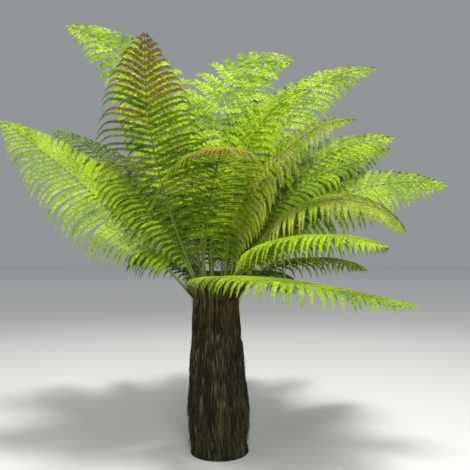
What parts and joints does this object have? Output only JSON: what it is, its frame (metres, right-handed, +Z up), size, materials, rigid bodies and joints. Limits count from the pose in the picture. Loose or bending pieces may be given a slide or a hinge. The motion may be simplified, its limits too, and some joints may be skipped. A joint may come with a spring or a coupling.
{
  "type": "tree fern",
  "caption": "Tree fern with a stout fibrous trunk on a flat cut base and a rosette of long arching fronds, each a slender rib with a comb of drooping leaflets.",
  "frame": {"origin": "centre of the flat cut under the trunk, at ground level", "axes": "+Z up along the trunk, -Y towards the viewer of the picture, +X to the viewer's right"},
  "size_m": [3.0455, 3.3684, 3.2766],
  "materials": {
    "trunk": "matt dark brown fibrous trunk with old frond bases",
    "frond_bright": "sunlit yellow-green leaflets, soft sheen",
    "frond_green": "mid green leaflets, soft sheen",
    "frond_deep": "deep green shaded leaflets",
    "frond_olive": "olive green leaflets with russet tips"
  },
  "bodies": {
    "root": {"frond_back_left_lower": "frond_green", "frond_back_left_outer": "frond_green", "frond_back_low_left_lower": "frond_deep", "frond_back_low_left_outer": "frond_deep", "frond_back_low_right_lower": "frond_deep", "frond_back_low_right_outer": "frond_deep", "frond_back_middle_lower": "frond_bright", "frond_back_middle_outer": "frond_bright", "frond_back_right_lower": "frond_green", "frond_back_right_outer": "frond_green", "frond_back_skirt_left_lower": "frond_deep", "frond_back_skirt_left_outer": "frond_deep", "frond_back_skirt_middle_lower": "frond_deep", "frond_back_skirt_middle_outer": "frond_deep", "frond_back_skirt_right_lower": "frond_deep", "frond_back_skirt_right_outer": "frond_deep", "frond_back_tall_lower": "frond_green", "frond_back_tall_outer": "frond_green", "frond_front_arching_lower": "frond_olive", "frond_front_arching_outer": "frond_olive", "frond_front_left_tall": "frond_olive", "frond_front_low_lower": "frond_green", "frond_front_low_outer": "frond_green", "frond_left_back": "frond_deep", "frond_left_broad": "frond_bright", "frond_left_high_lower": "frond_bright", "frond_left_high_outer": "frond_bright", "frond_left_inner_lower": "frond_green", "frond_left_inner_outer": "frond_green", "frond_left_upright": "frond_green", "frond_middle_upright_lower": "frond_deep", "frond_middle_upright_outer": "frond_deep", "frond_right_back_low_lower": "frond_green", "frond_right_back_low_outer": "frond_green", "frond_right_bright_lower": "frond_bright", "frond_right_bright_outer": "frond_bright", "frond_right_droop_lower": "frond_green", "frond_right_droop_outer": "frond_green", "frond_right_inner_lower": "frond_green", "frond_right_inner_outer": "frond_green", "frond_right_low_lower": "frond_bright", "frond_right_low_outer": "frond_bright", "frond_right_middle_lower": "frond_green", "frond_right_middle_outer": "frond_green", "frond_right_olive_lower": "frond_green", "frond_right_olive_outer": "frond_green", "frond_right_upright_lower": "frond_bright", "frond_right_upright_outer": "frond_bright", "frond_top_inner_lower": "frond_bright", "frond_top_inner_outer": "frond_bright", "frond_top_middle_lower": "frond_bright", "frond_top_middle_outer": "frond_bright", "frond_top_right_lower": "frond_bright", "frond_top_right_outer": "frond_bright", "trunk": "trunk"}
  },
  "joints": []
}
